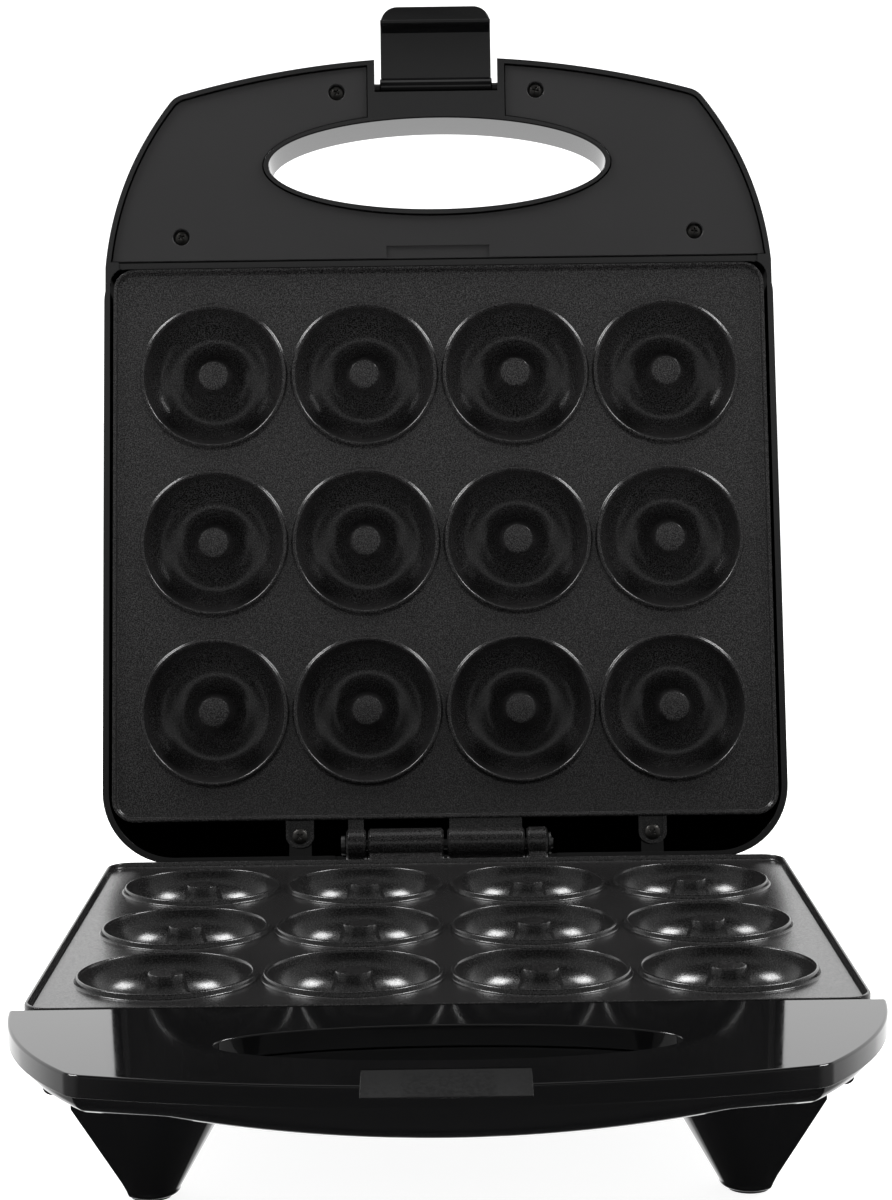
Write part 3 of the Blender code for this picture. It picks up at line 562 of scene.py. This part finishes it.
def tray():
    """The plate's rimmed web with its ring wells, closed underneath."""
    bm = bmesh.new()
    box = (PLATE_X, PLATE_FRONT, PLATE_REAR, PLATE_CORNER, PLATE_CORNER)
    rim = (
        (2.3, WEB_TOP), (1.9, -1.9), (1.6, -1.65), (1.42, -1.2), (1.3, -0.5), (1.05, -0.26), (0.75, RIM_TOP),
        (0.45, RIM_TOP), (0.15, -0.33), (0.0, -0.7), (0.0, -3.5), (0.25, -4.0), (0.7, WEB_UNDER),
    )
    loops = [[bm.verts.new(point) for point in level(inner_box(*box, d), z)] for d, z in rim]
    for outer, inner in zip(loops, loops[1:]):
        for i in range(len(outer)):
            bm.faces.new((outer[i - 1], outer[i], inner[i], inner[i - 1]))
    tops = [skin(bm, well_profile(), 72, centre) for centre in well_centres()]
    under = [(0, WELL_UNDER), (19.0, WELL_UNDER), (22.5, WELL_UNDER + 1.4)]
    under += [(25.4, WEB_UNDER - 1), (26.2, WEB_UNDER)]
    unders = [skin(bm, under, 36, centre) for centre in well_centres()]
    holed_face(bm, loops[0], tops)
    holed_face(bm, loops[-1], unders)
    bmesh.ops.recalc_face_normals(bm, faces=bm.faces)
    return bm


def knuckle(x0, x1, low, high):
    """A cast hinge barrel with softened ends, and the arm to the plate."""
    edge, root = 0.8, PLATE_REAR - 1.2
    hinge_y, hinge_z = HINGE
    arm_low = max(low, hinge_z - BARREL_R + 0.3)
    side = [(root, low), (hinge_y, arm_low), (hinge_y, hinge_z + 0.5), (root, high)]
    arm = extruded_x(side, x0 + edge, x1 - edge)
    barrel = along_x(x0, x1, *HINGE, BARREL_R, 40, edge)
    return carved(barrel, ("UNION", arm), ("DIFFERENCE", along_x(x0 - 5, x1 + 5, *HINGE, PIN_R + PIN_PLAY)))


def lug(x):
    """A screwed ear, cast as a U-shaped wall round a sunk floor."""
    half, end, steps = 5.0, 4.2, 16

    def ear(grow, rear):
        angles = [math.pi * i / steps for i in range(steps + 1)]
        tip = [(x + (half + grow) * math.cos(a), LUG_Y + (end + grow) * math.sin(a)) for a in angles]
        return [(x + half + grow, rear)] + tip + [(x - half - grow, rear)]

    floor = prism(ear(0, PLATE_REAR - 1), WEB_UNDER, WEB_UNDER + 2)
    wall = carved(
        prism(ear(0, PLATE_REAR - 0.5), WEB_UNDER + 0.5, -1.2),
        ("DIFFERENCE", prism(ear(-1.3, PLATE_REAR - 3), WEB_UNDER + 1.6, 1)),
    )
    return carved(floor, ("UNION", wall), ("DIFFERENCE", rod(x, LUG_Y, -9, 1, SCREW_HOLE_R)))


def cooking_plate(name, body, up, knuckles, lugs):
    root_low, root_high = sorted((up * (WEB_UNDER + 0.2), up * (RIM_TOP - 0.4)))
    shapes = [flipped(tray(), up)]
    shapes += [knuckle(x0, x1, root_low, root_high) for x0, x1 in knuckles]
    shapes += [flipped(lug(x), up) for x in lugs]
    bosses = [rod(x, y, -17, WEB_UNDER + 0.5, 3.2) for x, y in both_sides(PLATE_SCREWS)]
    shapes.append(flipped(gathered(bosses), up))
    piece(name + "_casting", gathered(shapes), NONSTICK, body, (name,), 40)


# Screws


def screw_piece(name, body, x, y, face, reach, head_r=2.75):
    """A pan-head cross-recess screw, driven upwards with its head at the height called face."""
    profile = [(0, 0.02), (head_r * 0.45, 0.06), (head_r * 0.78, 0.28), (head_r, 0.75), (head_r, 1.2)]
    profile += [(1.5, 1.2), (1.5, reach), (0, reach)]
    arm, slot = head_r * 0.58, 0.38
    angle = random.uniform(0, math.pi / 2)
    turns = [Matrix.Rotation(angle - math.pi / 2 * i, 2) for i in range(4)]
    spun = [turn @ Vector(point) for turn in turns for point in ((slot, slot), (arm, slot), (arm, -slot))]
    recess = loft([level(spun, -1), [(u * 0.6, v * 0.6, 0.95) for u, v in spun]])
    bolt = carved(turned(profile, 40), ("DIFFERENCE", recess))
    bmesh.ops.transform(bolt, matrix=at(x, y, face), verts=bolt.verts)
    piece(name + "_detail", bolt, BLACK_STEEL, body, (name,), 40)


def both_sides(points):
    """Each point on the left and on the right."""
    return [(side * point[0], *point[1:]) for point in points for side in (-1, 1)]


def screws():
    random.seed(7)
    for i, (x, y) in enumerate(both_sides(LID_SCREWS)):
        screw_piece(f"lid_handle_screw_{i + 1}", "lid", x, y, 1.7, 10.5, 2.7)
    for x, side in zip(LUGS, ("left", "right")):
        screw_piece(f"upper_plate_screw_{side}", "lid", x, LUG_Y, 0.7, 13.0, 2.7)
    for i, (x, y) in enumerate(both_sides(PLATE_SCREWS)):
        screw_piece(f"lower_plate_screw_{i + 1}", "base", x, y, TUB_FOOT + 0.1, 17.5, 3.0)
    for i, (x, y, head) in enumerate(both_sides(BASE_SCREWS)):
        screw_piece(f"base_handle_screw_{i + 1}", "base", x, y, head, -4.2 - head)


# Lid


def lid_shell():
    grip_levels = [(z, d, 0) for z, d in rounded_levels(LID_FACE, GRIP_TOP, EDGE, 6.5, 6)]
    shell = handles(0.0, -20.0, grip_levels)
    corners, steps = (LID_FRONT_CORNER, LID_CORNER), 16
    dome_levels = rounded_levels(LID_FACE, LID_HEIGHT, EDGE, 12.0, 8)
    dome = boxes(LID_X, LID_FRONT, LID_REAR, *corners, dome_levels, steps)
    insets = ((-3.0, 0.0), (30.0, 0.6), (36.0, 3.5), (39.0, 7.5), (40.6, 13.0))
    hollow = boxes(LID_X, HOLLOW_FRONT, LID_REAR, *corners, [(z, WALL + d) for z, d in insets], steps)
    pocket = prism(rounded_box(LID_X - WALL, -102.2, -60, 6, 2), -3.0, 12.0)
    grip = carved(
        handles(BAND, HOLLOW_FRONT, ((-3.0, 0.0, 0), (14.0, 0.0, 0), (19.8, 6.0, 0))),
        ("DIFFERENCE", prism(oval(BAND), -9, 50)),
        ("DIFFERENCE", block(-BRIDGE_X, BRIDGE_X, -190, OVAL_Y, -9, 50)),
    )
    posts = [rod(x, y, 4.1, 21.0, 3.6) for x, y in both_sides(LID_SCREWS)]
    posts += [block(x - 4, x + 4, 102.4, LID_REAR - 1.4, 4.7, 24.0) for x in LUGS]
    notch = [block(-NOTCH_X, NOTCH_X, -200, NOTCH_Y, -5, 40)]
    openings = [block(-117, 117, -104.9, -101.9, -5, 2.6), block(-39.5, 39.5, 104, 120, -5, 12)]
    pin_hole = along_x(-29, 29, *LATCH, PIN_R + PIN_PLAY)
    screw_holes = [rod(x, y, 1.0, 15.0, 1.8) for x, y in both_sides(LID_SCREWS)]
    screw_holes += [rod(x, LUG_Y, 1.0, 17.0, 1.8) for x in LUGS]
    lens_holes = [rod(x, LENS_Y, 34.0, 46.0, LENS_HOLE_R) for x in (-LENS_X, LENS_X)]
    web_behind_latch = block(-22.0, 22.0, -169.2, NOTCH_Y + 0.4, 9.0, 21.5)
    inside_bridge = block(-31, 31, NOTCH_Y + BAND, OVAL_Y - OVAL_B - BAND, 3.0, 18.5)
    shell = carved(
        shell,
        ("UNION", dome),
        ("DIFFERENCE", hollow),
        ("DIFFERENCE", pocket),
        ("DIFFERENCE", grip),
        ("UNION", gathered(posts)),
        ("DIFFERENCE", gathered(screw_holes + lens_holes)),
        ("DIFFERENCE", gathered(openings + notch)),
        ("UNION", web_behind_latch),
        ("DIFFERENCE", flared(oval, LID_FACE, GRIP_TOP, OVAL_EDGE)),
        ("DIFFERENCE", pin_hole),
        ("DIFFERENCE", inside_bridge),
    )
    piece("lid_shell_moulding", shell, GLOSS, "lid", ("lid_shell",))


def lid_handle_cover():
    face, back, rounding, gap = 1.4, 3.8, 0.3, 0.35
    panel = handles(BAND + gap, -104.8, [(z, d, 0) for z, d in rounded_levels(face, back, rounding, 0.1, 3)])
    bridge = BRIDGE_X + gap
    wide, narrow, floor_z = 3.3, 3.05, 3.1
    recess = [(0, -2.0), (wide, -2.0), (wide, face), (narrow, face + 0.35), (narrow, floor_z), (0, floor_z)]
    recesses = [turned(recess, 40, at(x, y, 0)) for x, y in both_sides(LID_SCREWS)]
    panel = carved(
        panel,
        ("DIFFERENCE", flared(lambda grow: oval(BAND + gap + grow), face, back, rounding)),
        ("DIFFERENCE", block(-bridge, bridge, -190, OVAL_Y, -9, 20)),
        ("DIFFERENCE", block(-19, 18.8, -109.4, -104, 0, face + 0.5)),
        ("DIFFERENCE", gathered(recesses)),
        ("DIFFERENCE", gathered([rod(x, y, 2.0, 9.0, SCREW_HOLE_R) for x, y in both_sides(LID_SCREWS)])),
    )
    piece("lid_handle_panel", panel, SATIN, "lid", ("lid_handle_cover",))


def latch():
    """The swing latch: a bowed tongue with round corners, its barrel and the hooking rib."""
    half, length, tip_r, low, high = 20.75, 33.0, 6.5, 18.0, 20.0

    def tongue(d):
        tip = LATCH[0] - length
        corner = quarter((half - tip_r, tip + tip_r), tip_r - d, 0, -90, 12)
        return mirrored([(half - d, LATCH[0])] + corner)

    body = loft([level(tongue(d), z) for z, d in rounded_levels(low, high, 0.5, 0.5)])
    near, far, root, chamfer, tip_z = LATCH[0] - 24.3, LATCH[0] - 26.0, low + 0.5, 0.4, 12.6
    rib_end = [(near - chamfer, tip_z), (far + chamfer, tip_z)]
    rib_side = [(near, root), (near, tip_z + chamfer), *rib_end, (far, tip_z + chamfer), (far, root)]
    rib = extruded_x(rib_side, 0.1 - half, half - 0.1)
    barrel = along_x(-half - 0.2, half + 0.2, *LATCH, 4.1, 48, 0.4)
    pin_hole = along_x(-30, 30, *LATCH, PIN_R + PIN_PLAY)
    body = carved(body, ("UNION", barrel), ("UNION", rib), ("DIFFERENCE", pin_hole))
    piece("latch_moulding", body, GLOSS, "latch", ("latch",))


# Base


def leg_radius(z):
    return LEG_FOOT_R + LEG_SLOPE * (z - LEG_FOOT)


def leg_outer(z):
    """How far out the flat outer side of a leg stands at a height."""
    return LEG_X + FIN_SPREAD * leg_radius(z)


def beside_leg(x, y, shrink):
    """The space beyond a leg's flat outer side."""
    side, far, front, rear = math.copysign(1, x), 135.0, y - 32, y + 32
    rings = []
    for z in (-62.0, -8.0):
        near = leg_outer(z) - shrink
        corners = ((near, front), (far, front), (far, rear), (near, rear))
        rings.append([(side * corner_x, corner_y, z) for corner_x, corner_y in corners])
    return loft(rings)


def leg_shapes(shrink, foot, top, margin):
    """The conical legs between two heights, cut off inside the tub's sides."""
    def radius(z):
        return leg_radius(z) - shrink

    edge = 2.2 if shrink == 0 else 0.5
    wide, turns = radius(foot + edge), quarter_turns(6)
    rounding = [(wide - edge * (1 - math.sin(t)), foot + edge * (1 - math.cos(t))) for t in turns]
    profile = [(0, foot)] + rounding + [(radius(top), top), (0, top)]
    legs = gathered([turned(profile, 64, at(x, y, 0)) for x, y in LEGS])
    limit = prism(rounded_box(TUB_X - margin, -150, TUB_REAR - margin, 20, 12), -70, 5)
    beside = gathered([beside_leg(x, y, shrink) for x, y in LEGS])
    return carved(legs, ("INTERSECT", limit), ("DIFFERENCE", beside))


def leg_fin(side, y):
    """The squared outer part of a leg, whose front and back are flat."""
    levels = ((FIN_FOOT, FIN_FOOT, 0.68), (FIN_SHOULDER, FIN_SHOULDER, 1), (FIN_TOP, FIN_SHOULDER, 1))
    rings = []
    for z, width_z, share in levels:
        reach = share * leg_radius(width_z)
        outer, rear = leg_outer(width_z), min(y + reach, FIN_REAR)
        corners = ((FIN_X, y - reach), (outer, y - reach), (outer, rear), (FIN_X, rear))
        rings.append([(side * x, corner_y, z) for x, corner_y in corners])
    return loft(rings)


def tub():
    """The tub under the plate, and the hollow in it."""
    edge, corners, floor_z = 3.2, (4, 10), TUB_FOOT + WALL
    rounding = [(edge * (1 - math.cos(t)), edge * (1 - math.sin(t))) for t in quarter_turns(6)]
    levels = [(TUB_FOOT + up, TUB_DRAFT + d) for up, d in rounding] + [(TUB_TOP, 0.0)]
    inner = ((0.0, WALL), (TUB_TOP, WALL), (floor_z + 2, TUB_DRAFT + WALL), (floor_z, TUB_DRAFT + 4))
    return [boxes(TUB_X, TUB_FRONT, TUB_REAR, *corners, walls) for walls in (levels, inner)]


def belly():
    """The handle's underside, which rises towards the sides, and the hollow in it."""
    levels = (
        (BELLY_FOOT, 7.6, 1.0), (BELLY_FOOT + 0.15, 6.2, 1.0), (BELLY_FOOT + 0.8, 4.4, 0.9),
        (BELLY_FOOT + 2.0, 3.0, 0.8), (BELLY_FOOT + 4.0, 1.7, 0.6), (-10.5, 0.7, 0.25), (BELLY_TOP, 0.0, 0.0),
    )
    outer = handles(BELLY_INSET, -98.0, levels)
    bmesh.ops.scale(outer, vec=(BELLY_STRETCH, 1, 1), verts=outer.verts)
    inner = ((0.0, 0.0, 0), (-12.5, 1.2, 0.5), (-15.6, 4.5, 1.0))
    hollow = handles(BELLY_INSET + WALL, TUB_FRONT - WALL, inner)
    return outer, carved(hollow, ("DIFFERENCE", prism(oval(WALL), -30, 5)))


def gland_seat():
    """The round pad on the back wall and the hole for the cord gland."""
    place = at(GLAND_X, 0, GLAND_Z) @ Matrix.Rotation(-math.pi / 2, 4, "X")
    radius, rear = GLAND_PAD_R, 105.2
    pad = [(0, 98.8), (radius, 98.8), (radius, rear - 0.6), (radius - 0.4, rear), (0, rear)]
    hole = [(0, 90), (GLAND_HOLE_R, 90), (GLAND_HOLE_R, 115), (0, 115)]
    return [turned(profile, 40, place) for profile in (pad, hole)]


def base_housing():
    shell, tub_hollow = tub()
    handle_belly, belly_hollow = belly()
    gland_pad, gland_hole = gland_seat()
    plate_screws, handle_screws = both_sides(PLATE_SCREWS), both_sides(BASE_SCREWS)
    recesses = [rod(x, y, -32, TUB_FOOT + 1.7, 3.4) for x, y in plate_screws]
    recesses += [rod(x, y, -32, head + 1.5, 3.4) for x, y, head in handle_screws]
    recesses += [rod(x, y, -60, -55, 6.55, 48) for x, y in LEGS]
    holes = [rod(x, y, -40, -5, SCREW_HOLE_R) for x, y, *_ in plate_screws + handle_screws]
    half, reach = VENT_WIDTH / 2, VENT_LENGTH / 2
    vent_places = [(column * VENT_PITCH, y) for column in range(-2, 3) for y in (-42, 42)]
    vents = [block(x - half, x + half, y - reach, y + reach, -31, -20) for x, y in vent_places]
    bosses = [rod(x, y, TUB_FOOT + 1, -17.9, 3.9) for x, y in plate_screws]
    bosses += [rod(x, y, head + 0.4, -9.8, 3.9) for x, y, head in handle_screws]
    stops = [block(x - 8, x + 8, 102.0, 104.9, -9, -1.0) for x in (-STOP_X, STOP_X)]
    shell = carved(
        shell,
        ("UNION", handle_belly),
        ("UNION", leg_shapes(0.0, LEG_FOOT, -12.0, 6.0)),
        ("UNION", gathered([leg_fin(math.copysign(1, x), y) for x, y in LEGS])),
        ("DIFFERENCE", tub_hollow),
        ("DIFFERENCE", belly_hollow),
        ("DIFFERENCE", leg_shapes(LEG_WALL, LEG_FOOT + LEG_WALL, -21.0, 6.0 + LEG_WALL)),
        ("UNION", gathered(bosses + [gland_pad] + stops)),
        ("DIFFERENCE", gathered(holes + [gland_hole])),
        ("DIFFERENCE", gathered(recesses)),
        ("DIFFERENCE", prism(oval(), -40, 5)),
        ("DIFFERENCE", block(-39, 39, TUB_REAR - 6, TUB_REAR + 3, -5.2, 5)),
        ("DIFFERENCE", gathered(vents)),
    )
    piece("base_housing_moulding", shell, GLOSS, "base", ("base_housing",))


def base_handle_cover():
    skirt = [(z, d, 0) for z, d in rounded_levels(SKIRT_FOOT, BASE_FACE, EDGE, 0.8)]
    cap = handles(0.0, BASE_COVER_REAR, skirt)
    hollow = carved(
        handles(2.0, BASE_COVER_REAR - 2.0, ((SKIRT_FOOT - 4, 0.0, 0), (BASE_FACE - 2, 0.0, 0))),
        ("DIFFERENCE", prism(oval(2.0), -20, 5)),
        ("DIFFERENCE", block(-NOTCH_X - 2, NOTCH_X + 2, -190, -163.2, -20, 5)),
    )
    bosses = [rod(x, y, -9.2, BASE_FACE - 1, 3.4) for x, y, _ in both_sides(BASE_SCREWS)]
    holes = [rod(x, y, -12, -3.4, 1.8) for x, y, _ in both_sides(BASE_SCREWS)]
    beyond = -190
    ramp = ((-165.2, 1.0), (-165.2, BASE_FACE - 0.2), (-179.3, -3.8), (beyond, -4.2), (beyond, 1.0))
    catch = ((beyond, -9), (beyond, -6.6), (-178.5, -6.6), (-176.9, -5.2), (-161.5, -5.2), (-161.5, -9))
    cap = carved(
        cap,
        ("DIFFERENCE", hollow),
        ("DIFFERENCE", flared(oval, SKIRT_FOOT, BASE_FACE, OVAL_EDGE)),
        ("UNION", gathered(bosses)),
        ("DIFFERENCE", gathered(holes + [extruded_x(ramp, -22.2, 21.2)])),
        ("DIFFERENCE", extruded_x(catch, -NOTCH_X - 1, NOTCH_X + 1)),
    )
    piece("base_handle_cap", cap, GLOSS, "base", ("base_handle_cover",))


def foot_pads():
    profile = [(0, -57), (5.4, -57), (5.9, -56.85), (6.2, -56.4), (6.2, -55.3), (0, -55.3)]
    for (x, y), place in zip(LEGS, ("front_left", "rear_left", "front_right", "rear_right")):
        name = "foot_pad_" + place
        piece(name + "_rubber", turned(profile, 48, at(x, y, 0)), RUBBER, "base", (name,))


# Camera, light and floor


def camera():
    """The view: square to the front, level with the open lid's middle and tilted a little down."""
    eye = base_place() @ (Vector((0.67, -826.9, 188.3)) * MM)
    down, yaw, roll = 5.959, -0.031, -0.762
    data = bpy.data.cameras.new("camera")
    data.sensor_width = 36
    data.lens = 79.89
    obj = bpy.data.objects.new("camera", data)
    turn = Matrix.Rotation(math.radians(yaw), 4, "Z") @ Matrix.Rotation(math.radians(90 - down), 4, "X")
    obj.matrix_world = Matrix.Translation(eye) @ turn @ Matrix.Rotation(math.radians(roll), 4, "Z")
    bpy.context.scene.collection.objects.link(obj)
    bpy.context.scene.camera = obj


def area_light(name, place, target, size, power):
    data = bpy.data.lights.new(name, "AREA")
    data.shape = "RECTANGLE"
    data.size, data.size_y = size
    data.energy = power
    obj = bpy.data.objects.new(name, data)
    obj.location = place
    obj.rotation_euler = (Vector(target) - Vector(place)).to_track_quat("-Z", "Y").to_euler()
    bpy.context.scene.collection.objects.link(obj)


def floor():
    mesh = bpy.data.meshes.new("studio_floor")
    bm = bmesh.new()
    bmesh.ops.create_grid(bm, x_segments=1, y_segments=1, size=6)
    bm.to_mesh(mesh)
    bm.free()
    material, tree, shader = new_material("studio_white", (0.9, 0.9, 0.9), 0.9)
    shader.inputs["Emission Color"].default_value = (1, 1, 1, 1)
    shader.inputs["Emission Strength"].default_value = 0.9
    mesh.materials.append(material)
    obj = bpy.data.objects.new("studio_floor", mesh)
    bpy.context.scene.collection.objects.link(obj)
    obj.visible_glossy = False


def combined(tree, operation, a, b):
    made = tree.nodes.new("ShaderNodeMath")
    made.operation = operation
    tree.links.new(a, made.inputs[0])
    tree.links.new(b, made.inputs[1])
    return made.outputs[0]


def surroundings():
    """A white studio, dark only on the side that faces the object's front."""
    world = bpy.data.worlds.new("studio")
    bpy.context.scene.world = world
    world.use_nodes = True
    tree = world.node_tree
    tree.nodes.clear()
    out = tree.nodes.new("ShaderNodeOutputWorld")
    place = tree.nodes.new("ShaderNodeTexCoord")
    parts = tree.nodes.new("ShaderNodeSeparateXYZ")
    tree.links.new(place.outputs["Generated"], parts.inputs[0])
    back = ranged(tree, parts.outputs["Y"], -0.1, 0.6, 0.06, 1.5)
    across = tree.nodes.new("ShaderNodeMath")
    across.operation = "ABSOLUTE"
    tree.links.new(parts.outputs["X"], across.inputs[0])
    sides = ranged(tree, across.outputs[0], 0.5, 0.85, 0.0, 0.5)
    above = ranged(tree, parts.outputs["Z"], 0.45, 0.65, 1.0, 0.15)
    under = ranged(tree, parts.outputs["Z"], -0.2, -0.6, 1.0, 0.03)
    behind = ranged(tree, parts.outputs["Y"], 0.6, 0.8, 0.0, 1.0)
    below = combined(tree, "MAXIMUM", under, behind)
    around = combined(tree, "MAXIMUM", back, sides)
    wall = combined(tree, "MULTIPLY", around, combined(tree, "MINIMUM", above, below))
    low_edge = ranged(tree, parts.outputs["Z"], 0.2, 0.42, 0.05, 0.55)
    high_edge = ranged(tree, parts.outputs["Z"], 0.525, 0.565, 1.0, 0.1)
    ahead = ranged(tree, parts.outputs["Y"], -0.2, -0.5, 0.0, 1.0)
    softbox = combined(tree, "MULTIPLY", combined(tree, "MULTIPLY", low_edge, high_edge), ahead)
    light = node(tree, "ShaderNodeBackground", Color=(1, 1, 1, 1))
    tree.links.new(combined(tree, "MAXIMUM", wall, softbox), light.inputs["Strength"])
    tree.links.new(light.outputs[0], out.inputs["Surface"])


def studio():
    scene = bpy.context.scene
    scene.view_settings.view_transform = "Standard"
    surroundings()
    floor()
    for side in (-1, 1):
        area_light("side_softbox", (side * 1.0, 0.1, 1.35), (0, 0, 0.06), (0.5, 0.5), 19)
    area_light("top_softbox", (0, 0.1, 1.9), (0, 0, 0.06), (1.4, 0.8), 2.5)


camera()
studio()
paint_frame()
cooking_plate("lower_plate", "base", 1, LOWER_KNUCKLES, ())
cooking_plate("upper_plate", "lid", -1, UPPER_KNUCKLES, LUGS)
screws()
lid_shell()
lid_handle_cover()
latch()
base_housing()
base_handle_cover()
foot_pads()
